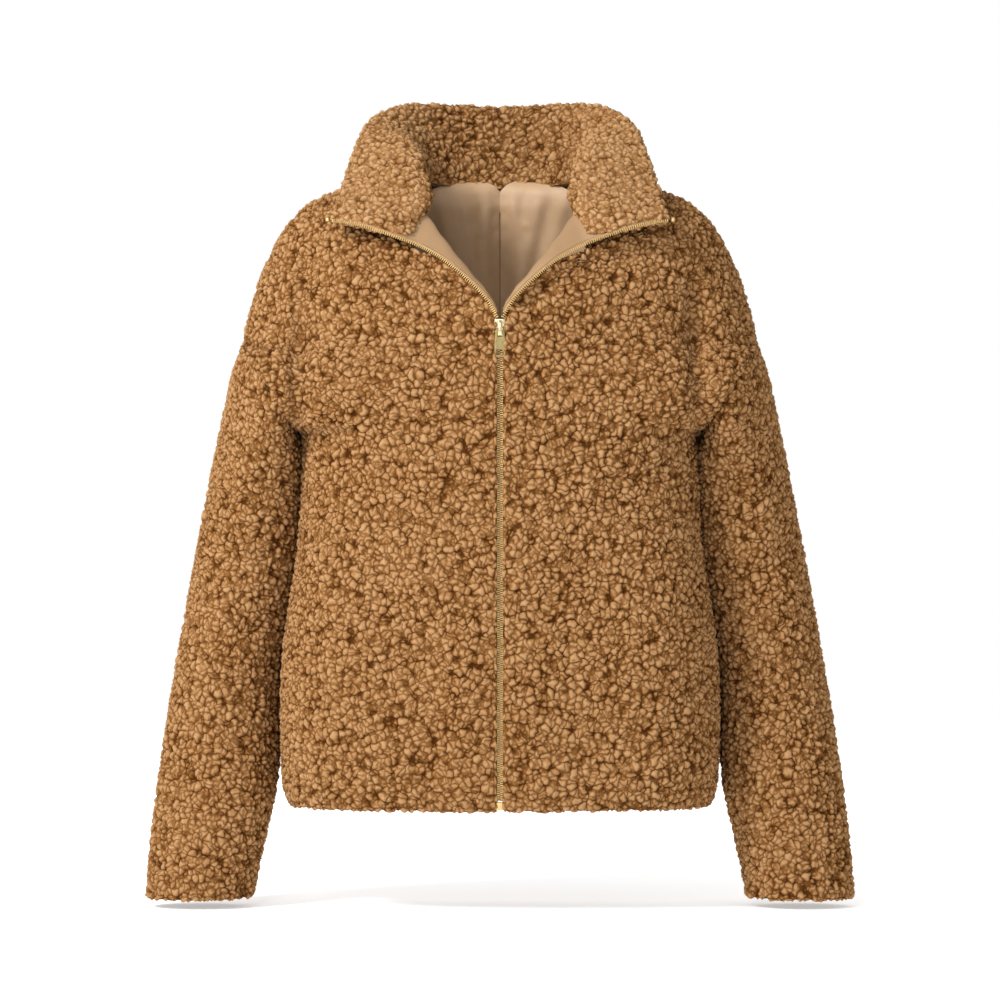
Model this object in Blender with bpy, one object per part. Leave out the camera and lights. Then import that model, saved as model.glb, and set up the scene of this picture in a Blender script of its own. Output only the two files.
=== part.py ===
"""Pile fleece zip jacket with a stand collar turned open, filled out and hollow, held at the shoulders.

Every cloth piece is a wall between an outer surface and the same surface moved inwards. A body panel's
surface is a fan of rows. Each row is a conic arc from the zip or neckline over a corner point to the side
seam, the armhole or the shoulder seam, so three points and a fullness give a row. A sleeve is a run of
ellipses between its outer and inner line. The collar is a surface from the neck seam over a roll to its rim.

Tables are in millimetres for the wearer's left half, at +X. The right half is its mirror image.
+Z is up, the front faces -Y, and the origin lies between the shoulders.
"""

import math

import bmesh
import bpy
from mathutils import Vector

MM = 0.001

# Cloth, with the pile counted in the fleece wall.
FLEECE = 8.0
COLLAR_FLEECE = 7.2
LINING = 1.0
TAPE = 0.8
GAP = 0.3

# Zip, a 6 mm metal chain.
TOOTH_WIDTH = 2.7
TOOTH_DEPTH = 2.8
TAPE_WIDTH = 9.0  # behind the fleece, where the zip is closed
TAPE_SHOWN = 3.2  # beside the teeth, where it is open
ZIP_SINK = 4.6  # from the fleece's outer surface back to the front of the teeth
ZIP_HALF_GROOVE = 6.6  # from the middle of the zip to the fleece beside it
SLIDER_TOP = -118.0
SLIDER_BOTTOM = -135.0
SLIDER_WIDTH = 12.0
SLIDER_BACK = 6.6  # front to back
SLIDER_FRONT_Y = -116.2
BRIDGE_HALF = 1.8
BRIDGE_THICK = 1.2
PULL_HINGE_Z = -130.0
PULL_BOTTOM = -155.5
PULL_WIDTH = 11.0
PULL_THICK = 1.4
PULL_EYE_HALF = 2.4
PULL_EYE_LENGTH = 4.9
PULL_WINDOW = (7.0, 5.4)
PULL_RIM = 2.0
STOP_SIZE = (3.2, 3.4, 4.0)
BOX_WIDTH = 9.0
BOX_HEIGHT = 8.0

# How finely each piece is divided.
BODY_COLUMNS = 11
SLEEVE_COLUMNS = 24
COLLAR_COLUMNS = 6

HEM = -600.0

# Armhole seam: an ellipse in a slanting plane, from the underarm up to the shoulder point.
UNDERARM = Vector((200, 0, -232))
SHOULDER_POINT = Vector((258, 0, -140))
ARMHOLE_HALF_DEPTH = 84.0

# Body rows below the armhole: height, half width at the side seam, depth of front and back.
TORSO_ROWS = [
    # z,   side, front, back
    (HEM, 213, 106, 98),
    (-580, 217.5, 109, 101),
    (-540, 219.5, 111, 103),
    (-490, 220, 113, 104),
    (-440, 217, 115, 104),
    (-390, 210, 117, 103),
    (-340, 202.5, 119, 103),
    (-285, 200, 121, 105),
]

# Body rows that end on the armhole: angle round it, then inner end and corner of the front, and of the back.
ARMHOLE_ROWS = [
    # turn, front inner z, y,  corner x, y, z,         back inner z, y,  corner x, y, z
    (0, -232, -122, 200, -122, -232, -232, 107, 200, 107, -232),
    (30, -214, -122, 203, -121.5, -221, -214, 107.5, 203, 107.5, -221),
    (60, -194, -122, 207, -120, -204, -194, 107.5, 207, 107, -204),
    (90, -174, -121, 215, -117, -186, -174, 107, 216, 105.5, -186),
    (120, -156, -120, 227, -113, -168, -153, 106.5, 228, 103, -168),
    (150, -139, -119, 243, -107, -153, -133, 106, 243, 99, -153),
    (180, -121, -118, 257, -101, -139, -113, 105, 257, 94, -139),
]

# The teeth's middle line where the zip is open, from the slider up to the tip of the turned collar.
OPEN_ZIP = [
    # x, y, z
    (2.4, -114.6, -117),
    (5.0, -116, -112.5),
    (10, -117, -104),
    (17.6, -117.5, -94),
    (35, -116.5, -77),
    (53, -112, -62),
    (69, -105.5, -51.5),
    (84, -100, -44),
    (103, -102.5, -37),
    (119, -103.5, -31.5),
    (135, -101, -26.5),
    (152, -94.5, -22.5),
    (167, -87, -20),
]

# Body rows that end on the shoulder seam: inner end, corner and outer end.
FRONT_SHOULDER_ROWS = [
    # inner x, y, z,   corner x, y, z,    outer x, z
    (17.9, -117, -96.5, 251, -94, -112, 252, -111),
    (36.4, -116, -78.7, 241, -87, -82, 243, -80),
    (54.3, -111.5, -63.8, 229, -79, -54, 231, -51),
    (70.2, -105, -53.3, 210, -69, -22, 212, -18),
    (86, -93, -46, 187, -57, 0, 188, 4),
    (90, -62, -17, 158, -42, 13, 159, 16),
    (92, -34, 4, 126, -26, 21, 128, 24),
    (92, -8, 21, 102, -6, 26, 104, 28),
]
BACK_SHOULDER_ROWS = [
    (0, 104, -88, 251, 89, -112, 252, -111),
    (0, 102, -62, 241, 84, -82, 243, -80),
    (0, 99, -36, 229, 77, -54, 231, -51),
    (0, 96, -10, 210, 68, -22, 212, -18),
    (0, 91, 18, 187, 57, 0, 188, 4),
    (40, 85, 19, 158, 46, 14, 159, 16),
    (70, 63, 22, 126, 32, 23, 128, 24),
    (88, 30, 26, 102, 14, 28, 104, 28),
]
HEM_FULLNESS = 1.2
NECK_FULLNESS = 0.72
FULLNESS_FALLS = (6, 17)  # the rows between which the arcs go from full to flat

# The fold between chest and arm, above the underarm.
CREASE_X = 197.0
CREASE_WIDTH = 15.0
CREASE_DEPTH = 9.0
CREASE_HEIGHTS = (-228, -190, -124, -60)  # starts, is full, starts to fade, ends

# Sleeve, from the armhole down: outer and inner line, middle depth and half depth.
SLEEVE_ROWS = [
    # outer x, z,  inner x, z,  middle y, half depth
    (258, -140, 200, -232, 0, 84),
    (268, -166, 203.5, -251, 8, 83),
    (277, -203, 203, -276, 20, 81),
    (288, -252, 201.8, -308, 34, 77),
    (301, -315, 202.8, -352, 44, 72),
    (314, -385, 210, -405, 46, 67),
    (327, -458, 216.5, -465, 46, 62),
    (338, -528, 218.5, -530, 38, 58),
    (346, -590, 225, -590, 24, 54),
    (352, -645, 237, -645, 12, 50),
    (355, -692, 246, -692, 6, 48),
]

# Collar, from the middle of the back round to the zip: seam at the neckline, roll, rim.
COLLAR_ROWS = [
    # seam x, y, z,   roll x, y, z,    rim x, y, z
    (0, 91, 19.5, 0, 99, 61, 0, 100, 104),
    (40, 85, 20.5, 41, 94, 61, 46, 96, 106),
    (70, 63, 23.5, 76, 72, 61, 92, 77, 106),
    (88, 30, 27.5, 91, 36, 60, 124, 50, 93),
    (92, -8, 24, 87, -6, 54, 142, 15, 72),
    (92, -34, 7, 83, -38, 30, 153, -14, 46),
    (90, -62, -14, 81, -68, 6, 163, -42, 17),
    (86, -89.5, -35, 112, -99, -28, 166, -84, -15.5),
]
COLLAR_STEPS_PER_ROW = 2
LINING_COLUMNS = (0, 2, 4, 6, 7, 8, 9, 10)  # of the panel's columns; it stops short of the outer seams
LINING_SKIPS_ROWS = (0, 2, 5)  # the hem's row, and some of the plain ones above it
LINING_SLACK = 1.6
TAPE_FROM_STEP = 2  # the turned tape starts this many steps above the slider

# How wide the front edge is turned out beside the open zip, along the line of its teeth.
TURNED_STRIP = [
    # place on the open zip's line, from the teeth to the roll
    (3.2, 6.4),
    (4, 9),
    (5, 16),
    (6, 26),
    (7, 37),
]
FACING_FROM = 5.2  # from the middle of the teeth to the facing, past the tape


def mix(a, b, t):
    return a + (b - a) * t


def track(rows, at):
    """The table's row at a place between its rows, on a smooth curve through them all."""
    last = len(rows) - 1
    k = min(int(at), last - 1)
    t = at - k
    before, here, after, beyond = (rows[max(0, min(last, k + j))] for j in (-1, 0, 1, 2))
    return [
        0.5 * (2 * b + (c - a) * t + (2 * a - 5 * b + 4 * c - d) * t * t + (3 * b - a - 3 * c + d) * t**3)
        for a, b, c, d in zip(before, here, after, beyond)
    ]


def armhole(turn):
    """A point on the front half of the armhole seam; the back half has -y."""
    middle = (UNDERARM + SHOULDER_POINT) / 2
    up = (SHOULDER_POINT - UNDERARM) / 2
    angle = math.radians(turn)
    return middle - up * math.cos(angle) + Vector((0, -ARMHOLE_HALF_DEPTH * math.sin(angle), 0))


def armhole_inwards(point):
    """The way through the wall at the armhole seam, the same for body and sleeve."""
    middle = (UNDERARM + SHOULDER_POINT) / 2
    return (middle - point).normalized()


def conic(start, corner, end, fullness, t):
    a, b, c = (1 - t) ** 2, 2 * fullness * t * (1 - t), t * t
    return (start * a + corner * b + end * c) / (a + b + c)


def ramp(value, low, high):
    t = max(0.0, min(1.0, (value - low) / (high - low)))
    return t * t * (3 - 2 * t)


def crease(point):
    """How far the chest fold sinks the surface here."""
    starts, full, fades, ends = CREASE_HEIGHTS
    window = ramp(point.z, starts, full) * (1 - ramp(point.z, fades, ends))
    return CREASE_DEPTH * window * math.exp(-(((point.x - CREASE_X) / CREASE_WIDTH) ** 2))


def body_rows(front):
    """Each row of a half body as start, corner, end, fullness and the seam that it ends on."""
    side = -1 if front else 1
    start_x = ZIP_HALF_GROOVE if front else 0.0
    rows = []
    for z, width, front_depth, back_depth in TORSO_ROWS:
        y = side * (front_depth if front else back_depth)
        start, corner, end = (Vector(p) for p in ((start_x, y, z), (width, y, z), (width, side * GAP / 2, z)))
        rows.append([start, corner, end, "side"])
    for turn, *numbers in ARMHOLE_ROWS:
        z, y, *corner = numbers[:5] if front else numbers[5:]
        end = armhole(turn)
        end.y *= -side
        end.y += side * GAP / 2
        rows.append([Vector((start_x, y, z)), Vector(corner), end, "armhole"])
    for row in FRONT_SHOULDER_ROWS if front else BACK_SHOULDER_ROWS:
        end = Vector((row[6], side * GAP / 2, row[7]))
        rows.append([Vector(row[:3]), Vector(row[3:6]), end, "shoulder"])
    for number, row in enumerate(rows):
        row.insert(3, mix(HEM_FULLNESS, NECK_FULLNESS, ramp(number, *FULLNESS_FALLS)))
    return rows


def columns_of(start, corner, end, fullness):
    """Where a row's points lie along its arc, with one of them in the fold beside the arm."""
    low, high = 0.0, 1.0
    for _ in range(30):
        middle = (low + high) / 2
        before = conic(start, corner, end, fullness, middle).x < CREASE_X
        low, high = (middle, high) if before else (low, middle)
    fold = min(max(low, 0.55), 0.86)
    near = 0.05
    stops = [(0, 0.0), (6, fold - near), (7, fold), (8, fold + near), (BODY_COLUMNS, 1.0)]
    places = []
    for column in range(BODY_COLUMNS + 1):
        for (a, p), (b, q) in zip(stops, stops[1:]):
            if a <= column <= b:
                place = mix(p, q, (column - a) / (b - a))
        places.append(place)
    return places


def normals_of(grid):
    """Outward normals of a grid of points, from the neighbours along its rows and columns."""
    made = []
    for i, row in enumerate(grid):
        below, above = grid[max(i - 1, 0)], grid[min(i + 1, len(grid) - 1)]
        made.append([])
        for j in range(len(row)):
            across = row[min(j + 1, len(row) - 1)] - row[max(j - 1, 0)]
            along = above[j] - below[j]
            made[-1].append(across.cross(along).normalized())
    return made


def half_body(front):
    """The outer surface of a half body and its normals."""
    grid, ways = [], []
    rows = body_rows(front)
    start_x = rows[0][0].x
    for *arc, _ in rows:
        grid.append([conic(*arc, t) for t in columns_of(*arc)])
    normals = normals_of(grid) if front else [[-n for n in row] for row in normals_of(grid)]
    ends = [row[2] for row in rows]
    for i, (_, _, end, _, seam) in enumerate(rows):
        if seam == "armhole":
            normals[i][-1] = -armhole_inwards(end)
        else:
            up = ends[min(i + 1, len(ends) - 1)] - ends[max(i - 1, 0)]
            normals[i][-1] = Vector((up.z, 0, -up.x)).normalized()
        if grid[i][0].x in (0, start_x):
            normals[i][0].x = 0
            normals[i][0].normalize()
        ways.append([])
        for j, point in enumerate(grid[i]):
            sink = 0 if j in (0, BODY_COLUMNS) else crease(point)
            ways[-1].append(normals[i][j])
            grid[i][j] = point - normals[i][j] * sink
    return grid, ways


def mirrored(points):
    return [[Vector((-p.x, p.y, p.z)) for p in row] for row in points]


def moved_in(grid, normals, depth):
    return [[p - n * depth for p, n in zip(*rows)] for rows in zip(grid, normals)]


def material(name, colour, roughness, metallic=0.0):
    made = bpy.data.materials.new(name)
    made.use_nodes = True
    shader = made.node_tree.nodes["Principled BSDF"]
    shader.inputs["Base Color"].default_value = (*colour, 1)
    shader.inputs["Roughness"].default_value = roughness
    shader.inputs["Metallic"].default_value = metallic
    return made


def to_object(name, bm, finish):
    bmesh.ops.scale(bm, vec=(MM, MM, MM), verts=bm.verts)
    bmesh.ops.recalc_face_normals(bm, faces=bm.faces)
    mesh = bpy.data.meshes.new(name)
    bm.to_mesh(mesh)
    bm.free()
    mesh.shade_smooth()
    mesh.set_sharp_from_angle(angle=math.radians(40))
    made = bpy.data.objects.new(name, mesh)
    made.data.materials.append(finish)
    bpy.context.collection.objects.link(made)
    return made


def wall(name, sheets, finish):
    """A closed wall. Each sheet is an outer grid and an inner grid; sheets that share points are welded."""
    bm = bmesh.new()
    inner_place = bm.verts.layers.float_vector.new("inner")
    for outer, inner in sheets:
        grid = bmesh.ops.create_grid(bm, x_segments=len(outer[0]) - 1, y_segments=len(outer) - 1, size=1)
        flat_outer = [p for row in outer for p in row]
        flat_inner = [p for row in inner for p in row]
        for vertex, at, under in zip(grid["verts"], flat_outer, flat_inner):
            vertex.co = at
            vertex[inner_place] = under
    bmesh.ops.remove_doubles(bm, verts=bm.verts, dist=1e-4)
    deeper = bmesh.ops.extrude_face_region(bm, geom=bm.faces[:], use_keep_orig=True)
    for vertex in deeper["geom"]:
        if isinstance(vertex, bmesh.types.BMVert):
            vertex.co = vertex[inner_place]
    return to_object(name, bm, finish)


def box(low, high):
    bm = bmesh.new()
    bmesh.ops.create_cube(bm, size=1)
    bmesh.ops.scale(bm, vec=[b - a for a, b in zip(low, high)], verts=bm.verts)
    bmesh.ops.translate(bm, vec=[(a + b) / 2 for a, b in zip(low, high)], verts=bm.verts)
    return bm


def tube_surface():
    """The left sleeve's outer surface, closed round, and its outward normals."""
    grid, ways = [], []
    for row in SLEEVE_ROWS:
        outer_x, outer_z, inner_x, inner_z, y, half_depth = row
        outer, inner = Vector((outer_x, y, outer_z)), Vector((inner_x, y, inner_z))
        middle, half = (outer + inner) / 2, (outer - inner) / 2
        points = []
        for column in range(SLEEVE_COLUMNS):
            angle = math.tau * column / SLEEVE_COLUMNS
            points.append(middle + half * math.cos(angle) + Vector((0, -half_depth * math.sin(angle), 0)))
        grid.append(points)
    for i, row in enumerate(grid):
        below, above = grid[max(i - 1, 0)], grid[min(i + 1, len(grid) - 1)]
        ways.append([])
        for j, point in enumerate(row):
            across = row[(j + 1) % SLEEVE_COLUMNS] - row[j - 1]
            normal = across.cross(above[j] - below[j]).normalized()
            ways[-1].append(-armhole_inwards(point) if i == 0 else normal)
    off_the_seam = (SHOULDER_POINT - UNDERARM).cross(Vector((0, 1, 0))).normalized() * GAP
    grid[0] = [point + off_the_seam for point in grid[0]]
    return [row + row[:1] for row in grid], [row + row[:1] for row in ways]


def collar_surface():
    """The middle surface of the half collar from back to front, with normals away from the neck."""
    steps = (len(COLLAR_ROWS) - 1) * COLLAR_STEPS_PER_ROW
    grid = []
    for step in range(steps + 1):
        numbers = track(COLLAR_ROWS, step / COLLAR_STEPS_PER_ROW)
        seam, roll, rim = (Vector(numbers[k : k + 3]) for k in (0, 3, 6))
        points = []
        for column in range(COLLAR_COLUMNS + 1):
            t = column / COLLAR_COLUMNS
            through = 2 * roll - (seam + rim) / 2
            points.append(conic(seam, through, rim, 1.0, t))
        grid.append(points)
    normals = [[-n for n in row] for row in normals_of(grid)]
    for normal in normals[0]:
        normal.x = 0
        normal.normalize()
    return grid, normals


def seam_plane_x(z):
    """Where the slanting plane of the armhole seam lies at a height, above the underarm."""
    slant = (SHOULDER_POINT.x - UNDERARM.x) / (SHOULDER_POINT.z - UNDERARM.z)
    return UNDERARM.x + (z - UNDERARM.z) * slant


def on_own_side(grid, side):
    """A front or back grid's points, kept from crossing the side and shoulder seams or the armhole seam."""
    kept = []
    for row in grid:
        kept.append([])
        for p in row:
            x = min(p.x, seam_plane_x(p.z)) if p.z > UNDERARM.z else p.x
            kept[-1].append(Vector((x, side * max(side * p.y, GAP / 2), p.z)))
    return kept


def outside_armhole(grid):
    """The sleeve's points, kept on its own side of the armhole seam."""
    kept = []
    for row in grid:
        kept.append([])
        for p in row:
            x = max(p.x, seam_plane_x(p.z) + 1.2 * GAP) if p.z > UNDERARM.z - 1 else p.x
            kept[-1].append(Vector((x, p.y, p.z)))
    return kept


def build_body(fleece):
    front, front_ways = half_body(front=True)
    back, back_ways = half_body(front=False)
    front_inner = on_own_side(moved_in(front, front_ways, FLEECE), -1)
    back_inner = on_own_side(moved_in(back, back_ways, FLEECE), 1)
    front, back = on_own_side(front, -1), on_own_side(back, 1)
    wall("front_left", [(front, front_inner)], fleece)
    wall("front_right", [(mirrored(front), mirrored(front_inner))], fleece)
    wall("back", [(back, back_inner), (mirrored(back), mirrored(back_inner))], fleece)


def build_sleeves(fleece):
    grid, ways = tube_surface()
    inner = outside_armhole(moved_in(grid, ways, FLEECE))
    grid = outside_armhole(grid)
    wall("sleeve_left", [(grid, inner)], fleece)
    wall("sleeve_right", [(mirrored(grid), mirrored(inner))], fleece)


def build_collar(fleece):
    grid, ways = collar_surface()
    for name, side in (("collar_outer", -1), ("collar_inner", 1)):
        near, far = side * GAP / 2, side * COLLAR_FLEECE
        one, other = moved_in(grid, ways, near), moved_in(grid, ways, far)
        wall(name, [(one, other), (mirrored(one), mirrored(other))], fleece)


def build_linings(lining):
    """The lining behind the fleece. The back is cut in two halves that meet in a seam down its middle."""
    front, front_ways = half_body(front=True)
    back, back_ways = half_body(front=False)
    start = FLEECE + GAP
    for name, grid, ways, side, near in (
        ("lining_front", front, front_ways, -1, start + TAPE + GAP + LINING_SLACK),
        ("lining_back", back, back_ways, 1, start + LINING_SLACK),
    ):
        layers = []
        for depth in (near, near + LINING):
            layer = []
            for number, row in enumerate(on_own_side(moved_in(grid, ways, depth), side)):
                row[0].x = max(row[0].x, GAP / 2)
                if number not in LINING_SKIPS_ROWS:
                    layer.append([row[column] for column in LINING_COLUMNS])
            layers.append(layer)
        wall(name + "_left", [tuple(layers)], lining)
        wall(name + "_right", [tuple(mirrored(layer) for layer in layers)], lining)


def open_zip_at(place):
    """The teeth's middle where the zip is open, and the way from there into the opening."""
    point = Vector(track(OPEN_ZIP, place))
    ends = (max(place - 0.5, 0), min(place + 0.5, len(OPEN_ZIP) - 1))
    low, high = (Vector(track(OPEN_ZIP, end)) for end in ends)
    return point, Vector((low.z - high.z, 0, high.x - low.x)).normalized()


def build_facings(lining):
    """Lining cloth from the tape to the roll of the turned front edge, and a little way inside."""
    near = []
    for step in range(2 * len(TURNED_STRIP) - 1):
        place, width = track(TURNED_STRIP, step / 2)
        teeth, to_opening = open_zip_at(place)
        edge = teeth + to_opening * FACING_FROM + Vector((0, 0.4, 0))
        roll = teeth + to_opening * width + Vector((0, 2 + 0.6 * width, 0))
        end = roll + Vector((0, 8, 0)) - to_opening * 3
        near.append([conic(edge, 2 * roll - (edge + end) / 2, end, 1.0, t / 4) for t in range(5)])
    far = moved_in(near, normals_of(near), LINING)
    wall("facing_left", [(near, far)], lining)
    wall("facing_right", [(mirrored(near), mirrored(far))], lining)


def front_surface_y(z):
    """How far forward the fleece lies beside the closed zip."""
    rows = [(row[0].z, row[0].y) for row in body_rows(front=True)[: len(TORSO_ROWS) + len(ARMHOLE_ROWS)]]
    for (low, y_low), (high, y_high) in zip(rows, rows[1:]):
        if z <= high:
            return mix(y_low, y_high, (z - low) / (high - low))
    return rows[-1][1]


def ribbon(name, rails, back, thick, finish):
    """A flat band between two rails, thickened towards its back."""
    rows = [list(pair) for pair in zip(*rails)]
    behind = [[p + Vector(back) * thick for p in row] for row in rows]
    wall(name, [(rows, behind)], finish)


def both_sides(name, rails, back, thick, finish):
    ribbon(name + "_left", rails, back, thick, finish)
    ribbon(name + "_right", [[Vector((-p.x, p.y, p.z)) for p in rail] for rail in rails], back, thick, finish)


def open_zip_rails(near, far, back):
    """Two rails beside the open zip's line, at distances on the side of the opening."""
    rails = ([], [])
    for step in range(2 * len(OPEN_ZIP) - 1):
        point, to_opening = open_zip_at(step / 2)
        for rail, distance in zip(rails, (near, far)):
            rail.append(point + to_opening * distance + Vector((0, back, 0)))
    return rails


def build_zip(tape, brass):
    heights = [HEM + BOX_HEIGHT + 2, -560, -500, -440, -380, -320, -260, -205, -165, SLIDER_BOTTOM - 0.5]
    front = [front_surface_y(z) for z in heights]
    teeth, tapes = ([], []), ([], [])
    for z, y in zip(heights, front):
        for rail, x in zip(teeth, (GAP / 2, GAP / 2 + TOOTH_WIDTH)):
            rail.append(Vector((x, y + ZIP_SINK, z)))
        for rail, x in zip(tapes, (GAP / 2, TAPE_WIDTH)):
            rail.append(Vector((x, y + FLEECE + GAP, z)))
    both_sides("zip_teeth_closed", teeth, (0, 1, 0), TOOTH_DEPTH, brass)
    both_sides("zip_tape_closed", tapes, (0, 1, 0), TAPE, tape)
    half = TOOTH_WIDTH / 2
    both_sides("zip_teeth_open", open_zip_rails(-half, half, -TOOTH_DEPTH / 2), (0, 1, 0), TOOTH_DEPTH, brass)
    rails = open_zip_rails(half + GAP, half + GAP + TAPE_SHOWN, -TAPE / 2)
    rails = [rail[TAPE_FROM_STEP:] for rail in rails]
    both_sides("zip_tape_open", rails, (0, 1, 0), TAPE, tape)


def bevelled(bm, width):
    bmesh.ops.bevel(
        bm, geom=bm.edges[:], offset=width, segments=1, profile=0.5, affect="EDGES", material=-1
    )
    return bm


def build_slider(brass):
    """The slider's body with its bridge: a post at each end and a beam across their fronts."""
    back = SLIDER_FRONT_Y + SLIDER_BACK
    half = SLIDER_WIDTH / 2
    block = box((-half, SLIDER_FRONT_Y, SLIDER_BOTTOM), (half, back, SLIDER_TOP))
    body = to_object("zip_slider", bevelled(block, 1.0), brass)
    beam_y = SLIDER_FRONT_Y - 2 * GAP - PULL_THICK - BRIDGE_THICK
    reach_in = SLIDER_FRONT_Y + 1.5
    parts = [
        ((-BRIDGE_HALF, beam_y, PULL_HINGE_Z - 4.2), (BRIDGE_HALF, beam_y + BRIDGE_THICK, SLIDER_TOP - 1.0)),
        ((-BRIDGE_HALF, beam_y, PULL_HINGE_Z - 4.2), (BRIDGE_HALF, reach_in, PULL_HINGE_Z - 1.4)),
        ((-BRIDGE_HALF, beam_y, SLIDER_TOP - 3.5), (BRIDGE_HALF, reach_in, SLIDER_TOP - 1.0)),
    ]
    for low, high in parts:
        add(body, to_object("bridge", box(low, high), brass), "UNION")


def add(body, other, operation):
    """Joins another shape to a body, or cuts it out, and removes the other shape."""
    modifier = body.modifiers.new(operation.lower(), "BOOLEAN")
    modifier.operation = operation
    modifier.object = other
    graph = bpy.context.evaluated_depsgraph_get()
    made = bpy.data.meshes.new_from_object(body.evaluated_get(graph))
    body.modifiers.clear()
    body.data = made
    bpy.data.objects.remove(other)


def build_pull(brass):
    """The pull tab: a plate with an eye round the bridge and a window at its foot. Its hinge is its origin."""
    y = SLIDER_FRONT_Y - GAP - PULL_THICK / 2
    half = PULL_WIDTH / 2
    front, back = -PULL_THICK / 2, PULL_THICK / 2
    foot = PULL_BOTTOM - PULL_HINGE_Z
    plate = to_object("zip_pull", box((-half, front, foot), (half, back, 0.7)), brass)
    window_width, window_height = PULL_WINDOW
    window_foot = foot + PULL_RIM
    holes = [
        ((-PULL_EYE_HALF, -3, -0.7 - PULL_EYE_LENGTH), (PULL_EYE_HALF, 3, -0.7)),
        ((-window_width / 2, -3, window_foot), (window_width / 2, 3, window_foot + window_height)),
    ]
    for low, high in holes:
        add(plate, to_object("hole", box(low, high), brass), "DIFFERENCE")
    plate.location = (0, y * MM, PULL_HINGE_Z * MM)


def build_ends(brass):
    """The stops at the tips of the open zip, and the box at its foot."""
    x, y, z = OPEN_ZIP[-1]
    width, depth, height = STOP_SIZE
    for name, side in (("zip_stop_left", 1), ("zip_stop_right", -1)):
        middle = Vector((side * (x + width / 2 + 1.2), y, z + 0.6))
        low = middle - Vector((width, depth, height)) / 2
        to_object(name, bevelled(box(low, low + Vector((width, depth, height))), 0.5), brass)
    front = front_surface_y(HEM) + ZIP_SINK - 0.6
    low = (-BOX_WIDTH / 2, front, HEM + 1)
    high = (BOX_WIDTH / 2, front + TOOTH_DEPTH + 0.8, HEM + 1 + BOX_HEIGHT)
    to_object("zip_box", bevelled(box(low, high), 0.6), brass)


def clear_scene():
    for item in list(bpy.data.objects):
        bpy.data.objects.remove(item)


def main():
    clear_scene()
    fleece = material("Camel pile fleece", (0.46, 0.28, 0.13), 0.95)
    lining = material("Taupe lining", (0.42, 0.31, 0.22), 0.6)
    tape = material("Tan zip tape", (0.38, 0.25, 0.12), 0.9)
    brass = material("Pale brass", (0.62, 0.5, 0.25), 0.35, 1.0)
    build_body(fleece)
    build_sleeves(fleece)
    build_collar(fleece)
    build_linings(lining)
    build_facings(lining)
    build_zip(tape, brass)
    build_slider(brass)
    build_pull(brass)
    build_ends(brass)


main()
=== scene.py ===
"""The looks of a pile fleece zip jacket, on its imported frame.

Each fleece panel is a thin knitted backing with its curled pile as a piece of its own. Tables are in
millimetres for the wearer's left half, at +X, and the right half is its mirror image apart from its
folds. +Z is up, the front faces -Y, and the origin lies between the shoulders.
"""

import math

import bmesh
import bpy
import numpy as np
from mathutils import Matrix, Vector

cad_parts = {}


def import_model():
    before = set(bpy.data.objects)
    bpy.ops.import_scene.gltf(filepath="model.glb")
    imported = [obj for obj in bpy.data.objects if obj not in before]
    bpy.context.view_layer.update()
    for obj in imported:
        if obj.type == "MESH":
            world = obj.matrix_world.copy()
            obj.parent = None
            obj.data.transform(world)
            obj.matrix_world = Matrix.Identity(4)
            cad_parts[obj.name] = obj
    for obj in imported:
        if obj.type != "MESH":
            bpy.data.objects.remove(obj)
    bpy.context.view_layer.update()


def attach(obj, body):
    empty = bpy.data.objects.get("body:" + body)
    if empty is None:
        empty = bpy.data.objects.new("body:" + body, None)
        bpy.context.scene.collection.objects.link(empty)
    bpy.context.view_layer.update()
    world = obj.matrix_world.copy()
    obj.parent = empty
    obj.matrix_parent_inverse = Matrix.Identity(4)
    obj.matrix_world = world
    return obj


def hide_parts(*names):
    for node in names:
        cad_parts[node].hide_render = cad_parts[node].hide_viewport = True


MM = 0.001

# Cloth.
WALL = 8.0  # fleece, pile and backing together
COLLAR_WALL = 7.2  # each of the collar's two fleece layers
BACKING = 1.2
LINING = 0.5
TAPE = 0.7
SEAM_GAP = 0.3
LINING_SLACK = 1.6  # how far the lining hangs off the fleece
CENTRE_GAP = 0.4

# Pile.
CURL_HEIGHT = 4.8
CURL_ROOT = 3.6  # from the cloth's outer surface down to the crevices
PILE_STEP = 1.85  # how far apart the pile's points lie
BACK_PILE_STEP = 1.95  # coarser, so that the back stays under 200,000 triangles
SLEEVE_PILE_STEP = PILE_STEP * 1.06
COLLAR_PILE_STEP = PILE_STEP * 0.95

# How the pile turns round an edge: radius, sweep in degrees and steps.
HEM_ROLL = (4.0, 170, 6)
SEAM_ROLL = (3.0, 80, 2)
ZIP_EDGE_ROLL = (4.6, 100, 5)
COLLAR_ROLL = (COLLAR_WALL, 90, 6)

# The inner collar's pile reaches below its seam and swells there, over the lining's top edge.
COLLAR_REACH = 0.1
COLLAR_PUFF = 7.5
COLLAR_PUFF_WIDTH = 0.14
COLLAR_CURL_SHARE = 0.95

# Zip, a 6 mm metal chain.
TOOTH_WIDTH = 2.7
TOOTH_DEPTH = 2.8
TOOTH_PITCH = 2.2
TAPE_WIDTH = 9.0
TAPE_SHOWN = 1.3  # beside the open teeth
ZIP_SINK = 4.6  # from the fleece's surface in to the closed teeth
ZIP_HALF_GROOVE = 6.6
SLIDER_TOP = -118.0
SLIDER_BOTTOM = -135.0
SLIDER_WIDTH = 12.0
SLIDER_DEPTH = 6.6
SLIDER_PLATE = 1.5
SLIDER_FRONT_Y = -116.2
PULL_HINGE_Z = -130.0
PULL_BOTTOM = -155.5
PULL_WIDTH = 11.0
PULL_THICK = 1.4
BOX_HEIGHT = 8.0

HEM = -600.0

# Armhole seam: an ellipse in a slanting plane, from the underarm up to the shoulder point.
UNDERARM = np.array((200.0, 0, -232))
SHOULDER_POINT = np.array((258.0, 0, -140))
ARMHOLE_HALF_DEPTH = 84.0

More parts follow.
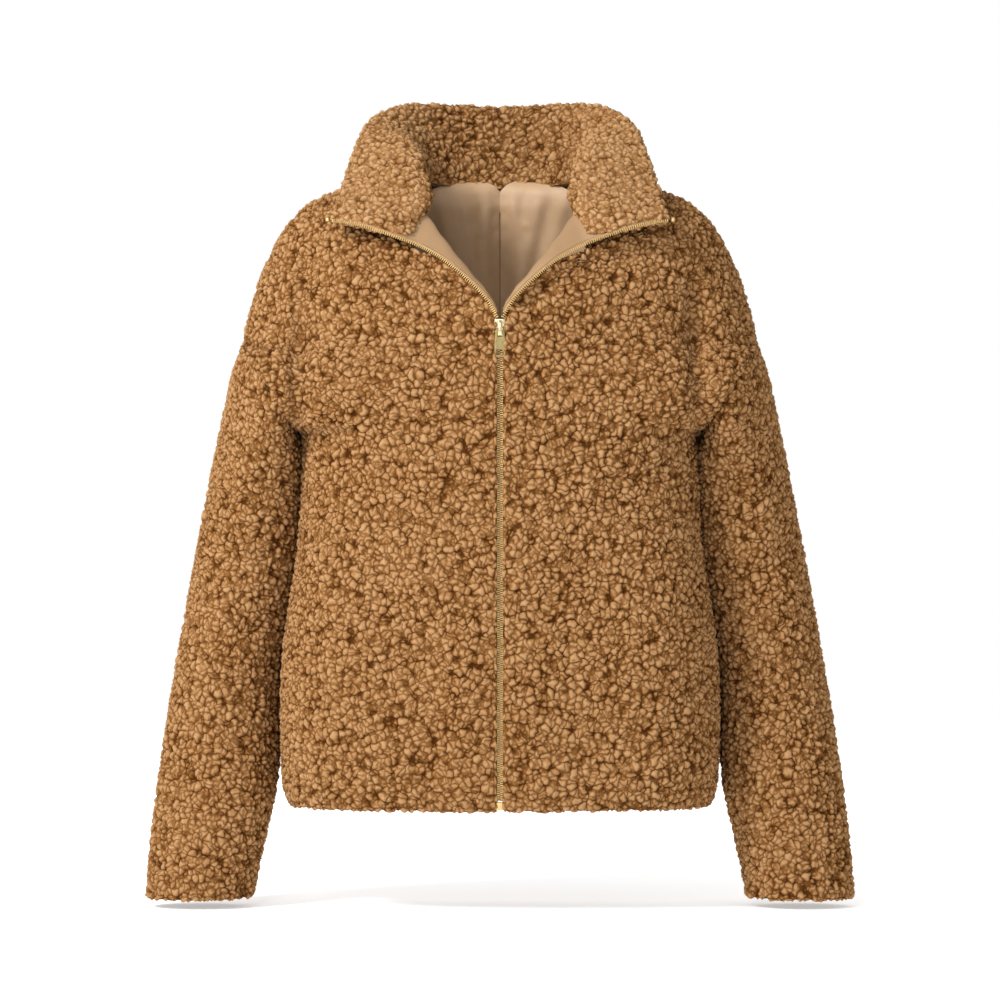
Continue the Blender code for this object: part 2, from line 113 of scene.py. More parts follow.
# Body rows below the armhole: height, half width at the side seam, depth of front and back.
TORSO_ROWS = [
    (HEM, 210, 104, 96),
    (-580, 217.5, 109, 101),
    (-540, 219.5, 111, 103),
    (-490, 220, 113, 104),
    (-440, 217, 115, 104),
    (-390, 210, 117, 103),
    (-340, 202.5, 119, 103),
    (-285, 200, 121, 105),
]

# Body rows that end on the armhole: the angle round it, then the inner end and corner of the front,
# and of the back.
ARMHOLE_ROWS = [
    # turn, front inner z and y, its corner, back inner z and y, its corner
    (0, -232, -122, 200, -122, -232, -232, 107, 200, 107, -232),
    (30, -214, -122, 203, -121.5, -221, -214, 107.5, 203, 107.5, -221),
    (60, -194, -122, 207, -120, -204, -194, 107.5, 207, 107, -204),
    (90, -174, -121, 215, -117, -186, -174, 107, 216, 105.5, -186),
    (120, -156, -120, 227, -113, -168, -153, 106.5, 228, 103, -168),
    (150, -139, -119, 243, -107, -153, -133, 106, 243, 99, -153),
    (180, -121, -118, 257, -101, -139, -113, 105, 257, 94, -139),
]

# The teeth's middle line where the zip is open, from the slider up to the tip of the turned collar.
OPEN_ZIP = [
    (2.4, -114.6, -117),
    (5.0, -116, -112.5),
    (10, -117, -104),
    (17.6, -117.5, -94),
    (35, -116.5, -77),
    (53, -112, -62),
    (69, -105.5, -51.5),
    (84, -100, -44),
    (103, -102.5, -37),
    (119, -103.5, -31.5),
    (135, -101, -26.5),
    (152, -94.5, -22.5),
    (167, -87, -20),
]

# Body rows that end on the shoulder seam: inner end, corner and outer end.
FRONT_SHOULDER_ROWS = [
    (17.9, -117, -96.5, 251, -94, -112, 252, -111),
    (36.4, -116, -78.7, 241, -87, -82, 243, -80),
    (54.3, -111.5, -63.8, 229, -79, -54, 231, -51),
    (70.2, -105, -53.3, 210, -69, -22, 212, -18),
    (86, -93, -46, 187, -57, 0, 188, 4),
    (90, -62, -17, 158, -42, 13, 159, 16),
    (92, -34, 4, 126, -26, 21, 128, 24),
    (92, -8, 21, 102, -6, 26, 104, 28),
]
BACK_SHOULDER_ROWS = [
    (0, 104, -88, 251, 89, -112, 252, -111),
    (0, 102, -62, 241, 84, -82, 243, -80),
    (0, 99, -36, 229, 77, -54, 231, -51),
    (0, 96, -10, 210, 68, -22, 212, -18),
    (0, 91, 18, 187, 57, 0, 188, 4),
    (40, 85, 19, 158, 46, 14, 159, 16),
    (70, 63, 22, 126, 32, 23, 128, 24),
    (88, 30, 26, 102, 14, 28, 104, 28),
]
HEM_FULLNESS = 1.2
NECK_FULLNESS = 0.72
FULLNESS_FALLS = (6, 17)

# The fold between chest and arm, above the underarm.
CREASE_X = 197.0
CREASE_WIDTH = 15.0
CREASE_DEPTH = 9.0
CREASE_HEIGHTS = (-228, -190, -124, -60)

# Sleeve, from the armhole down: outer and inner line, middle depth and half depth.
SLEEVE_ROWS = [
    (258, -140, 200, -232, 0, 84),
    (268, -166, 195.5, -251, 8, 83),
    (277, -203, 192, -276, 20, 81),
    (288, -252, 190.5, -308, 34, 77),
    (301, -315, 193, -352, 44, 72),
    (314, -385, 203, -405, 46, 67),
    (327, -458, 216.5, -465, 46, 62),
    (338, -528, 218.5, -530, 38, 58),
    (346, -590, 225, -590, 24, 54),
    (352, -645, 237, -645, 12, 50),
    (355, -692, 246, -692, 6, 48),
]

# Collar, from the middle of the back round to the zip: seam at the neckline, roll, rim.
COLLAR_ROWS = [
    (0, 91, 19.5, 0, 99, 61, 0, 100, 104),
    (40, 85, 20.5, 41, 94, 61, 46, 96, 106),
    (70, 63, 23.5, 76, 72, 61, 92, 77, 106),
    (88, 30, 27.5, 91, 36, 60, 124, 50, 93),
    (92, -8, 24, 87, -6, 54, 142, 15, 72),
    (92, -34, 7, 83, -38, 30, 153, -14, 46),
    (90, -62, -14, 81, -68, 6, 163, -42, 17),
    (86, -89.5, -35, 112, -99, -28, 166, -84, -15.5),
]

# How wide the front edge is turned out beside the open zip: place on its line, teeth to roll.
TURNED_STRIP = [(1.3, 3.8), (2.2, 4.6), (3.2, 6), (4, 8), (5, 12.5), (6, 19.5), (7, 29), (7.9, 38)]
FACING_FROM = 3.0


def mix(a, b, t):
    return a + (b - a) * t


def ramp(value, low, high):
    t = np.clip((value - low) / (high - low), 0, 1)
    return t * t * (3 - 2 * t)


def unit(vectors):
    return vectors / np.maximum(np.linalg.norm(vectors, axis=-1, keepdims=True), 1e-9)


def track(rows, at):
    """The table's rows at places between its rows, on a smooth curve through them all."""
    rows = np.asarray(rows, float)
    last = len(rows) - 1
    k = np.clip(np.floor(at).astype(int), 0, last - 1)
    t = (at - k)[:, None]
    a, b, c, d = (rows[np.clip(k + j, 0, last)] for j in (-1, 0, 1, 2))
    square, cube = 2 * a - 5 * b + 4 * c - d, 3 * b - a - 3 * c + d
    return 0.5 * (2 * b + (c - a) * t + square * t * t + cube * t**3)


def conics(start, corner, end, fullness, t):
    """Arcs from start over corner to end, one a row, at places t along them."""
    t = t[None, :, None]
    fullness = np.reshape(fullness, (-1, 1, 1))
    a, b, c = (1 - t) ** 2, 2 * fullness * t * (1 - t), t * t
    return (start[:, None] * a + corner[:, None] * b + end[:, None] * c) / (a + b + c)


def off_line(flat, line):
    """How far points of x and z lie from a line of them."""
    nearest = np.full(flat.shape[:-1], np.inf)
    for a, b in zip(np.array(line[:-1], float), np.array(line[1:], float)):
        t = np.clip(((flat - a) @ (b - a)) / ((b - a) @ (b - a)), 0, 1)
        nearest = np.minimum(nearest, np.linalg.norm(flat - a - t[..., None] * (b - a), axis=-1))
    return nearest


def body_table(front):
    """Each row of a half body as start, corner, end and fullness."""
    side = -1 if front else 1
    start_x = ZIP_HALF_GROOVE if front else 0
    rows = []
    for z, width, front_depth, back_depth in TORSO_ROWS:
        y = side * (front_depth if front else back_depth)
        rows.append([start_x, y, z, width, y, z, width, side * SEAM_GAP / 2, z])
    middle, up = (UNDERARM + SHOULDER_POINT) / 2, (SHOULDER_POINT - UNDERARM) / 2
    for turn, *numbers in ARMHOLE_ROWS:
        z, y, *corner = numbers[:5] if front else numbers[5:]
        angle = math.radians(turn)
        end = middle - up * math.cos(angle)
        end_y = side * ARMHOLE_HALF_DEPTH * math.sin(angle)
        rows.append([start_x, y, z, *corner, end[0], end_y, end[2]])
    for row in FRONT_SHOULDER_ROWS if front else BACK_SHOULDER_ROWS:
        rows.append([*row[:6], row[6], side * SEAM_GAP / 2, row[7]])
    for number, row in enumerate(rows):
        row.append(mix(HEM_FULLNESS, NECK_FULLNESS, ramp(number, *FULLNESS_FALLS)))
    return rows


def body_surface(front):
    rows = body_table(front)

    def surface(u, t):
        numbers = track(rows, u)
        return conics(numbers[:, :3], numbers[:, 3:6], numbers[:, 6:9], numbers[:, 9], t)

    return surface


def sleeve_surface(u, t):
    rows = track(SLEEVE_ROWS, u)
    outer, inner = rows[:, [0, 4, 1]], rows[:, [2, 4, 3]]
    angle = (math.tau * t)[None, :, None]
    depth = rows[:, None, 5:6] * np.array((0, -1, 0)) * np.sin(angle)
    return ((outer + inner) / 2)[:, None] + ((outer - inner) / 2)[:, None] * np.cos(angle) + depth


def collar_surface(u, t):
    rows = track(COLLAR_ROWS, u)
    seam, roll, rim = rows[:, :3], rows[:, 3:6], rows[:, 6:9]
    return conics(seam, 2 * roll - (seam + rim) / 2, rim, np.ones(len(rows)), t)


def even_grid(surface, rows, columns, step):
    """The surface's points between two places along it and two across it, about a step apart."""
    u, t = np.linspace(*rows, 160), np.linspace(*columns, 140)
    grid = surface(u, t)
    along = np.linalg.norm(np.diff(grid, axis=0), axis=2).mean(axis=1)
    across = np.linalg.norm(np.diff(grid, axis=1), axis=2).mean(axis=0)
    places = []
    for values, lengths in ((u, along), (t, across)):
        total = np.concatenate([[0], np.cumsum(lengths)])
        places.append(np.interp(np.linspace(0, total[-1], round(total[-1] / step) + 1), total, values))
    return surface(*places)


def normals_of(grid, closed=False):
    """Outward normals of a grid whose columns run to the wearer's left of its rows."""
    along = np.gradient(grid, axis=0)
    if closed:
        ring = grid[:, :-1]
        across = np.roll(ring, -1, axis=1) - np.roll(ring, 1, axis=1)
        across = np.concatenate([across, across[:, :1]], axis=1)
    else:
        across = np.gradient(grid, axis=1)
    return unit(np.cross(across, along))


def mirrored(grid):
    return grid * np.array((-1, 1, 1))


LAST_BODY_ROW = len(TORSO_ROWS) + len(ARMHOLE_ROWS) + len(FRONT_SHOULDER_ROWS) - 1
PILE_FROM_ROW = 0.12  # the hem's roll starts a little above the hem

# Folds and bulges pressed into the cloth. Each is a side of the jacket, a line of x and z on it,
# its width and how far it rises, or sinks if negative. A positive x is the wearer's left.
FOLDS = [
    ("front", [(-195, -62), (-199, -95), (-200, -180), (-201, -240)], 7, -6.0),
    ("front", [(193, -72), (190, -120), (195, -180), (200, -240)], 7, -6.0),
    ("front", [(26, -100), (58, -79), (92, -63), (122, -54)], 11, -8.0),
    ("front", [(-34, -96), (-62, -78), (-96, -64), (-126, -55)], 10, -5.0),
    ("front", [(-170, -20), (-150, -75), (-120, -120)], 20, 2.2),
    ("front", [(150, -10), (165, -70), (150, -130)], 22, 2.4),
    ("front", [(-186, -240), (-150, -262), (-105, -270)], 16, -2.6),
    ("front", [(188, -236), (158, -268), (118, -286)], 17, -2.8),
    ("front", [(-178, -330), (-160, -420), (-165, -520)], 26, 3.0),
    ("front", [(-110, -390), (-75, -470), (-60, -560)], 24, -2.8),
    ("front", [(-30, -430), (-40, -520), (-36, -590)], 22, 2.2),
    ("front", [(84, -360), (70, -450), (92, -560)], 26, -2.8),
    ("front", [(160, -360), (150, -450), (165, -560)], 28, 3.0),
    ("front", [(36, -440), (30, -520), (40, -590)], 20, 2.0),
    ("front", [(-224, -205), (-246, -260), (-262, -300)], 14, 2.5),
    ("front", [(-285, -330), (-262, -350), (-238, -356)], 13, -3.2),
    ("front", [(-312, -420), (-280, -436), (-250, -428)], 15, -2.6),
    ("front", [(-330, -560), (-300, -580), (-270, -576)], 15, -2.4),
    ("front", [(228, -210), (250, -262), (268, -310)], 14, 2.5),
    ("front", [(290, -345), (262, -372), (236, -380)], 13, -3.2),
    ("front", [(320, -455), (290, -470), (258, -460)], 15, -2.6),
    ("front", [(336, -590), (310, -606), (280, -600)], 14, -2.4),
    ("back", [(-194, -50), (-196, -110), (-200, -200)], 14, -3.6),
    ("back", [(196, -50), (198, -120), (200, -205)], 14, -3.8),
    ("back", [(-176, -240), (-120, -262), (-60, -262)], 20, -2.8),
    ("back", [(180, -236), (128, -256), (76, -252)], 20, -3.0),
    ("back", [(-140, -340), (-110, -440), (-125, -560)], 30, 3.0),
    ("back", [(-62, -330), (-48, -430), (-54, -570)], 26, -2.6),
    ("back", [(0, -60), (4, -160), (0, -300)], 34, 2.4),
    ("back", [(66, -350), (52, -450), (60, -580)], 26, -2.6),
    ("back", [(150, -330), (126, -430), (136, -560)], 30, 3.0),
    ("back", [(-292, -350), (-264, -370), (-236, -372)], 14, -3.2),
    ("back", [(-322, -470), (-292, -486), (-256, -480)], 15, -2.6),
    ("back", [(290, -336), (262, -358), (236, -360)], 14, -3.2),
    ("back", [(324, -490), (290, -506), (258, -500)], 15, -2.6),
]


def fold_rise(points, normals):
    """How far the folds raise the cloth at each point."""
    flat = points[..., [0, 2]]
    rise = np.zeros(points.shape[:-1])
    for side, line, width, height in FOLDS:
        facing = np.clip((-1 if side == "front" else 1) * normals[..., 1] * 1.6, 0, 1)
        rise += height * facing * np.exp(-((off_line(flat, line) / width) ** 2))
    return rise


def creased(grid, normals):
    """A half body's grid with the fold between chest and arm, and its normals."""
    starts, full, fades, ends = CREASE_HEIGHTS
    window = ramp(grid[..., 2], starts, full) * (1 - ramp(grid[..., 2], fades, ends))
    sink = CREASE_DEPTH * window * np.exp(-(((np.abs(grid[..., 0]) - CREASE_X) / CREASE_WIDTH) ** 2))
    inner = np.minimum(1, np.arange(grid.shape[1])[::-1] / 12)
    return grid - normals * (sink * inner)[..., None]


def clear_of_seam(grid, front):
    """Keeps a layer inside the wall on its own side of the side seam."""
    y = grid[..., 1]
    grid[..., 1] = -np.maximum(-y, SEAM_GAP) if front else np.maximum(y, SEAM_GAP)


def folded(grid, normals):
    return grid + normals * fold_rise(grid, normals)[..., None]


EDGES = {"low": (0, False), "high": (0, True), "start": (1, False), "end": (1, True)}


def rolled(grid, normals, edge, radius, sweep=90, steps=4):
    """The grid with a strip more, which rolls its cloth round one edge."""
    axis, flipped = EDGES[edge]
    g, n = np.moveaxis(grid, axis, 0), np.moveaxis(normals, axis, 0)
    if flipped:
        g, n = g[::-1], n[::-1]
    out = g[0] - g[1]
    out = unit(out - n[0] * (out * n[0]).sum(axis=-1, keepdims=True))
    angles = np.radians(np.linspace(sweep, 0, steps + 1)[:-1])[:, None, None]
    turned = n[0] * np.cos(angles) + out * np.sin(angles)
    g = np.concatenate([g[0] - n[0] * radius + turned * radius, g])
    n = np.concatenate([turned, n])
    if flipped:
        g, n = g[::-1], n[::-1]
    return np.moveaxis(g, 0, axis), np.moveaxis(n, 0, axis)


# Meshes.


def as_mesh(bm, name):
    """A new mesh of a bmesh, which is freed."""
    mesh = bpy.data.meshes.new(name)
    bm.to_mesh(mesh)
    bm.free()
    return mesh


def sheet_grid(bm, rows, columns):
    return bmesh.ops.create_grid(bm, x_segments=columns - 1, y_segments=rows - 1, size=1)["verts"]


def faces_in(grid, normals):
    """Whether a grid's faces point against its normals, as a mirrored half's do."""
    across, along = np.gradient(grid, axis=1), np.gradient(grid, axis=0)
    return (np.cross(across, along) * normals).sum() < 0


def grid_mesh(name, layers, ways, attributes, weld=0.0):
    """A mesh of one or more grids of points in millimetres, with attributes of their points."""
    bm = bmesh.new()
    for layer, way in zip(layers, ways):
        before = len(bm.faces)
        sheet_grid(bm, *layer.shape[:2])
        if faces_in(layer, way):
            bmesh.ops.reverse_faces(bm, faces=bm.faces[before:])
    mesh = as_mesh(bm, name)
    points = np.concatenate([layer.reshape(-1, 3) for layer in layers]) * MM
    mesh.vertices.foreach_set("co", points.ravel())
    for attribute, (kind, field, values) in attributes.items():
        made = mesh.attributes.new(attribute, kind, "POINT")
        made.data.foreach_set(field, values.ravel())
    mesh.update()
    if weld:
        bm = bmesh.new()
        bm.from_mesh(mesh)
        bmesh.ops.remove_doubles(bm, verts=bm.verts, dist=weld * MM)
        bm.to_mesh(mesh)
        bm.free()
    return mesh


def to_object(name, mesh, finish, body="jacket"):
    mesh.shade_smooth()
    mesh.materials.clear()
    mesh.materials.append(finish)
    made = bpy.data.objects.new(name, mesh)
    bpy.context.collection.objects.link(made)
    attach(made, body)
    return made


def shell(name, sheets, finish, weld=0.02):
    """A closed shell. Each sheet is an outer grid and an inner grid of points in millimetres."""
    bm = bmesh.new()
    inner_place = bm.verts.layers.float_vector.new("inner")
    for outer, inner in sheets:
        verts = sheet_grid(bm, *outer.shape[:2])
        for vertex, at, under in zip(verts, outer.reshape(-1, 3), inner.reshape(-1, 3)):
            vertex.co = at
            vertex[inner_place] = under
    bmesh.ops.remove_doubles(bm, verts=bm.verts, dist=weld)
    deeper = bmesh.ops.extrude_face_region(bm, geom=bm.faces[:], use_keep_orig=True)
    for vertex in deeper["geom"]:
        if isinstance(vertex, bmesh.types.BMVert):
            vertex.co = vertex[inner_place]
    bm.verts.layers.float_vector.remove(inner_place)
    bmesh.ops.scale(bm, vec=(MM, MM, MM), verts=bm.verts)
    bmesh.ops.recalc_face_normals(bm, faces=bm.faces)
    mesh = as_mesh(bm, name)
    made = to_object(name, mesh, finish)
    mesh.set_sharp_from_angle(angle=math.radians(50))
    return made


# Node maths.


class Value:
    """A socket of a node tree, which takes part in sums and feeds other nodes."""

    def __init__(self, tree, socket):
        self.tree, self.socket = tree, socket

    def node(self, kind, output=0, settings=None, **inputs):
        """A new node of this kind. Inputs are given by name, or as i0, i1 and so on by place."""
        made = self.tree.nodes.new(kind)
        for name, value in (settings or {}).items():
            setattr(made, name, value)
        for name, value in inputs.items():
            place = int(name[1:]) if name[0] == "i" and name[1:].isdigit() else name.replace("_", " ")
            socket = made.inputs[place]
            if isinstance(value, Value):
                self.tree.links.new(value.socket, socket)
            else:
                socket.default_value = value
        return Value(self.tree, made.outputs[output])

    def sum(self, operation, *others):
        inputs = {f"i{k}": value for k, value in enumerate((self, *others))}
        return self.node("ShaderNodeMath", settings={"operation": operation}, **inputs)

    def __add__(self, other):
        return self.sum("ADD", other)

    def __radd__(self, other):
        return self.sum("ADD", other)

    def __sub__(self, other):
        return self.sum("SUBTRACT", other)

    def __rsub__(self, other):
        return (self * -1).sum("ADD", other)

    def __mul__(self, other):
        return self.sum("MULTIPLY", other)

    def __rmul__(self, other):
        return self.sum("MULTIPLY", other)

    def __pow__(self, other):
        return self.sum("POWER", other)

    def between(self, low, high, to_low=0.0, to_high=1.0, smooth=True):
        """to_low below low, to_high above high, and in between smooth or straight."""
        kind = {"interpolation_type": "SMOOTHSTEP" if smooth else "LINEAR"}
        ends = {"i1": low, "i2": high, "i3": to_low, "i4": to_high}
        return self.node("ShaderNodeMapRange", settings=kind, i0=self, **ends)

    def shifted(self, other, scale):
        """This place, moved by another vector times a scale."""
        away = self.node("ShaderNodeVectorMath", settings={"operation": "SCALE"}, i0=other, Scale=scale)
        return self.node("ShaderNodeVectorMath", settings={"operation": "ADD"}, i0=self, i1=away)

    def noise(self, scale, detail=2.0, output=0):
        return self.node("ShaderNodeTexNoise", output, Vector=self, Scale=scale, Detail=detail)

    def cells(self, scale, feature="F1", output=0):
        return self.node("ShaderNodeTexVoronoi", output, {"feature": feature}, Vector=self, Scale=scale)

    def bands(self, direction, scale, **settings):
        kind = {"bands_direction": direction}
        return self.node("ShaderNodeTexWave", 1, kind, Vector=self, Scale=scale, **settings)

    def colours(self, *stops):
        """A colour for this value, from stops of place and colour."""
        made = self.tree.nodes.new("ShaderNodeValToRGB")
        elements = made.color_ramp.elements
        while len(elements) < len(stops):
            elements.new(0.5)
        for element, (place, colour) in zip(elements, stops):
            element.position = place
            element.color = (*colour, 1)
        self.tree.links.new(self.socket, made.inputs[0])
        return Value(self.tree, made.outputs[0])

    def bump(self, strength, distance):
        return self.node("ShaderNodeBump", Strength=strength, Distance=distance, Height=self)


def centred(noise):
    """A noise colour as a vector about zero."""
    away = {"operation": "SUBTRACT"}
    return noise.node("ShaderNodeVectorMath", settings=away, i0=noise, i1=(0.5, 0.5, 0.5))


def curls(place):
    """The pile's height, 0 in the crevices to 1 on the curls, and a random number for each curl."""
    wide = centred(place.noise(70, 1.0, output=1))
    narrow = centred(place.noise(185, 0.0, output=1))
    bent = place.shifted(wide, 0.009).shifted(narrow, 0.0056)
    edge = bent.cells(150, "DISTANCE_TO_EDGE").between(0.0, 0.3)
    middle = bent.cells(150, "F1")
    own = bent.node("ShaderNodeSeparateXYZ", i0=bent.cells(150, "F1", output=1))
    dome = 1 - (middle * 1.2) ** 2
    parted = (place.shifted(wide, 0.006).noise(125, 0.5) - 0.5).sum("ABSOLUTE").between(0.0, 0.06)
    height = (edge * 0.42 + dome * 0.43 + 0.15) * (parted * 0.16 + 0.84) * (own * 0.12 + 0.88)
    return height.sum("MAXIMUM", 0.0), own


def material(name, roughness, **constants):
    """A new material, its node tree, its shader node and its place in object space."""
    made = bpy.data.materials.new(name)
    made.use_nodes = True
    tree = made.node_tree
    shader = tree.nodes["Principled BSDF"]
    shader.inputs["Roughness"].default_value = roughness
    for socket, value in constants.items():
        shader.inputs[socket.replace("_", " ")].default_value = value
    place = tree.nodes.new("ShaderNodeTexCoord").outputs["Object"]
    return made, shader, Value(tree, place)


def connect(shader, **values):
    for socket, value in values.items():
        value.tree.links.new(value.socket, shader.inputs[socket.replace("_", " ")])


def attribute(place, name, output="Vector"):
    return place.node("ShaderNodeAttribute", output, {"attribute_name": name})


def fleece_material():
    made, shader, place = material("Camel pile fleece", 0.95)
    shader.inputs["Specular IOR Level"].default_value = 0.0
    rest = attribute(place, "rest")
    height, own = curls(rest)
    strands = rest.noise(900, 3.0)
    patches = rest.noise(14, 2.0)
    collar_painted_light = attribute(rest, "painted_light_mask", "Fac")
    # Painted shade and light: the colour darkens from the curls' tops down into the crevices, where shade
    # falls, on top of the bump's shading.
    painted_curl_light_and_shade = height.between(0.1, 0.95, smooth=False)
    tone = painted_curl_light_and_shade * 0.85 + (strands - 0.5) * 0.26 + (own - 0.5) * 0.10 + (patches - 0.5) * 0.15
    # Painted light: the collar's open wings get a paler colour, standing for the light that falls on
    # them.
    tone = tone + collar_painted_light * 0.16
    colour = tone.colours(
        (0.0, (0.050, 0.0165, 0.0035)),
        (0.25, (0.142, 0.060, 0.017)),
        (0.55, (0.28, 0.143, 0.057)),
        (1.0, (0.40, 0.236, 0.112)),
    )
    bump = (height + strands * 0.3).bump(0.55, 0.0025)
    connect(shader, Base_Color=colour, Normal=bump)
    return made


def knit_material():
    """The fleece's plain knitted ground, which shows inside the sleeves and hem."""
    made, shader, place = material("Knitted ground", 0.9)
    shader.inputs["Specular IOR Level"].default_value = 0.1
    loops = place.node("ShaderNodeTexWave", Vector=place, Scale=180.0, Distortion=2.0, Detail=1.0)
    flecks = place.noise(600, 2.0)
    tone = loops * 0.35 + flecks * 0.45 + 0.1
    colour = tone.colours(
        (0.0, (0.10, 0.05, 0.02)), (0.5, (0.24, 0.13, 0.055)), (1.0, (0.36, 0.21, 0.10))
    )
    connect(shader, Base_Color=colour, Normal=(loops * 0.5 + flecks * 0.5).bump(0.5, 0.0006))
    return made


def lining_material(name, tint_and_painted_shade):
    """Smooth taupe lining with a fine weave and a soft gloss, its colours times a factor, which for the
    facing is painted shade.
    """
    made, shader, place = material(name, 0.42)
    shader.inputs["Specular IOR Level"].default_value = 0.3
    weave = place.bands("X", 420.0, Distortion=0.4) * 0.5 + place.bands("Z", 420.0, Distortion=0.4) * 0.5
    slub = place.noise(60, 3.0)
    wear = place.noise(9, 2.0)
    tone = weave * 0.16 + slub * 0.3 + wear * 0.5 + 0.02
    stops = ((0.2, (0.35, 0.22, 0.12)), (0.5, (0.44, 0.288, 0.168)), (0.8, (0.52, 0.35, 0.215)))
    shaded = ((at, tuple(c * k for c, k in zip(colour, tint_and_painted_shade))) for at, colour in stops)
    crush = place.noise(26, 3.0)
    bump = (crush * 0.9 + weave * 0.04 + slub * 0.12).bump(0.5, 0.004)
    connect(shader, Base_Color=tone.colours(*shaded), Roughness=slub * 0.16 + 0.36, Normal=bump)
    return made


def tape_material():
    """Tan zip tape, a fine herringbone weave."""
    made, shader, place = material("Tan zip tape", 0.8)
    twill = place.bands("DIAGONAL", 330.0)
    flecks = place.noise(500, 2.0)
    tone = twill * 0.5 + flecks * 0.5
    colour = tone.colours(
        (0.2, (0.16, 0.09, 0.035)), (0.55, (0.34, 0.20, 0.085)), (0.9, (0.5, 0.32, 0.15))
    )
    connect(shader, Base_Color=colour, Normal=(twill * 0.6 + flecks * 0.4).bump(0.6, 0.0004))
    return made


def brass_material(name, colour, roughness):
    """Polished brass with faint handling marks."""
    made, shader, place = material(name, roughness, Metallic=1.0)
    marks = place.noise(300, 3.0)
    stain = place.noise(45, 2.0)
    tone = marks * 0.4 + stain * 0.6
    dark = tuple(0.72 * c for c in colour)
    gloss = marks * 0.22 + (roughness - 0.1)
    stained = tone.colours((0.3, dark), (0.6, colour))
    connect(shader, Base_Color=stained, Roughness=gloss, Normal=marks.bump(0.2, 0.0002))
    return made


def pile_nodes():
    """A node group that raises the pile from its roots by the curls' height."""
    tree = bpy.data.node_groups.new("Raise the pile", "GeometryNodeTree")
    tree.interface.new_socket("Geometry", in_out="INPUT", socket_type="NodeSocketGeometry")
    tree.interface.new_socket("Geometry", in_out="OUTPUT", socket_type="NodeSocketGeometry")
    enters, leaves = tree.nodes.new("NodeGroupInput"), tree.nodes.new("NodeGroupOutput")
    start = Value(tree, enters.outputs[0])

    def named(name, kind):
        return start.node("GeometryNodeInputNamedAttribute", settings={"data_type": kind}, Name=name)

    height, _ = curls(named("rest", "FLOAT_VECTOR"))
    rise = height * named("pile", "FLOAT")
    way = named("way", "FLOAT_VECTOR")
    away = rise.node("ShaderNodeVectorMath", settings={"operation": "SCALE"}, i0=way, Scale=rise)
    set_position = start.node("GeometryNodeSetPosition", i0=start, Offset=away)
    tree.links.new(set_position.socket, leaves.inputs[0])
    return tree


def pile(look, name, grids, weld=0.0, painted_light_from=400.0):
    """A piece of curled pile on grids of points and normals, with its roots' depth and its curls' height.

    Further from the middle than the distance it is given, its curls get painted light: a paler colour for
    the collar's open wings, where the light falls on them.
    """
    roots = [points - normals * root[..., None] for points, normals, root, _ in grids]
    rest = np.concatenate([points.reshape(-1, 3) for points, _, _, _ in grids]) * MM
    ways = np.concatenate([normals.reshape(-1, 3) for _, normals, _, _ in grids])
    tall = np.concatenate([height.ravel() for _, _, _, height in grids]) * MM
    # Painted light: how much of the paler colour each point gets, rising beyond the given distance from
    # the middle.
    painted_light_share = ramp(np.abs(rest[:, 0]) / MM, painted_light_from, painted_light_from + 28)
    mesh = grid_mesh(
        name,
        roots,
        [normals for _, normals, _, _ in grids],
        {
            "rest": ("FLOAT_VECTOR", "vector", rest),
            "way": ("FLOAT_VECTOR", "vector", ways),
            "pile": ("FLOAT", "value", tall),
            "painted_light_mask": ("FLOAT", "value", painted_light_share),
        },
        weld,
    )
    made = to_object(name, mesh, look.fleece)
    modifier = made.modifiers.new("pile", "NODES")
    modifier.node_group = look.pile_nodes
    raised = bpy.data.meshes.new_from_object(made.evaluated_get(bpy.context.evaluated_depsgraph_get()))
    made.modifiers.clear()
    made.data = raised
    raised.shade_smooth()
    look.piles.append(made)


def tall_as(grid, share=1.0):
    """The roots' depth and the curls' height all over a grid, less where share is less than 1."""
    share = np.ones(grid.shape[:2]) * share
    return share * CURL_ROOT, share * CURL_HEIGHT


def on_side(grid, normals, right):
    """A left half's grid with its folds, mirrored first for the wearer's right."""
    if right:
        grid, normals = mirrored(grid), mirrored(normals)
    return folded(grid, normals), normals


def half_body(front, right, depth, step, rows=(0, LAST_BODY_ROW), columns=(0, 1)):
    """Points and normals of a half body's surface with its folds, a depth inside its outer surface."""
    grid = even_grid(body_surface(front), rows, columns, step)
    out = 1 if front else -1
    grid = creased(grid, normals_of(grid) * out)
    grid, normals = on_side(grid, normals_of(grid) * out, right)
    return grid - normals * depth, normals


def sided(name, right):
    return name + ("right" if right else "left")


def build_body(look):
    backs = []
    for front in (True, False):
        for right in (False, True):
            step = PILE_STEP if front else BACK_PILE_STEP
            grid, normals = half_body(front, right, 0, step, (PILE_FROM_ROW, LAST_BODY_ROW))
            grid, normals = rolled(grid, normals, "low", *HEM_ROLL)
            grid, normals = rolled(grid, normals, "end", *SEAM_ROLL)
            if front:
                grid, normals = rolled(grid, normals, "start", *ZIP_EDGE_ROLL)
                share = np.ones(grid.shape[1])
                share[:6] = np.linspace(0.4, 1.0, 6)
                pile(look, sided("pile_front_", right), [(grid, normals, *tall_as(grid, share))])
            else:
                backs.append((grid, normals, *tall_as(grid)))
    pile(look, "pile_back", backs, weld=0.01)


def build_sleeves(look):
    last = len(SLEEVE_ROWS) - 1
    for right in (False, True):
        grid = even_grid(sleeve_surface, (0, last - 0.09), (0, 1), SLEEVE_PILE_STEP)
        normals = normals_of(grid, closed=True)
        middle = (UNDERARM + SHOULDER_POINT) / 2
        normals[0] = unit(grid[0] - middle)
        grid, normals = on_side(grid, normals, right)
        grid, normals = rolled(grid, normals, "high", *HEM_ROLL)
        grid, normals = rolled(grid, normals, "low", *SEAM_ROLL)
        pile(look, sided("pile_sleeve_", right), [(grid, normals, *tall_as(grid))], weld=0.01)


